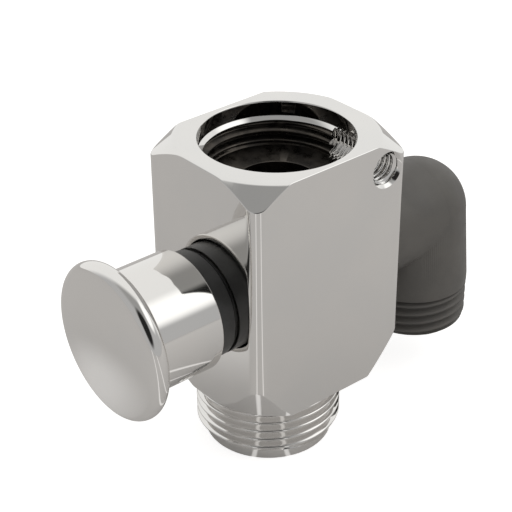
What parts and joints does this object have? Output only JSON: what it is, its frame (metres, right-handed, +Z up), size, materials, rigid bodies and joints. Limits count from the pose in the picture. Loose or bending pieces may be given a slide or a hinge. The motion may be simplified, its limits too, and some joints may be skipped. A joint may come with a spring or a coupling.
{
  "type": "shower diverter valve",
  "caption": "Square two-way shower diverter valve: threaded inlet on top, threaded outlet below, round push knob in front, hose elbow behind.",
  "frame": {"origin": "centre of the lower outlet's end", "axes": "+Z up along the outlet, the knob points along -Y, the elbow along +Y, the set screw hole is in the +X face"},
  "size_m": [0.0294, 0.0833, 0.0588],
  "materials": {
    "chromed_brass": "bright chrome plating on brass",
    "chromed_knob": "bright chrome plating",
    "dark_plastic": "smooth",
    "grey_plastic": "matt, slightly warm grey",
    "white_plastic": "natural acetal",
    "rubber": "matt black",
    "stainless_steel": "turned"
  },
  "bodies": {
    "valve": {"valve_body": "chromed_brass", "bonnet_collar": "dark_plastic", "bonnet_o_ring": "rubber", "stem_o_ring_front": "rubber", "stem_o_ring_rear": "rubber", "gland_washer": "stainless_steel", "spring_washer": "stainless_steel", "cartridge_sleeve": "white_plastic", "sleeve_o_ring_middle": "rubber", "sleeve_o_ring_rear": "rubber", "rear_seat_ring": "white_plastic", "hose_elbow": "grey_plastic", "elbow_o_ring": "rubber", "return_spring": "stainless_steel"},
    "knob": {"knob_cap": "chromed_knob", "knob_core": "white_plastic", "stem": "stainless_steel", "poppet": "white_plastic", "poppet_seal_front": "rubber", "poppet_seal_rear": "rubber", "poppet_washer": "stainless_steel", "stem_nut": "stainless_steel"}
  },
  "joints": [
    {"name": "knob_push", "type": "slide", "parent": "valve", "child": "knob", "axis": [0, 1, 0], "range_m": [0, 0.0033], "stiffness_N_per_m": 1100, "springref_m": -0.004, "deforming": ["return_spring"]}
  ]
}
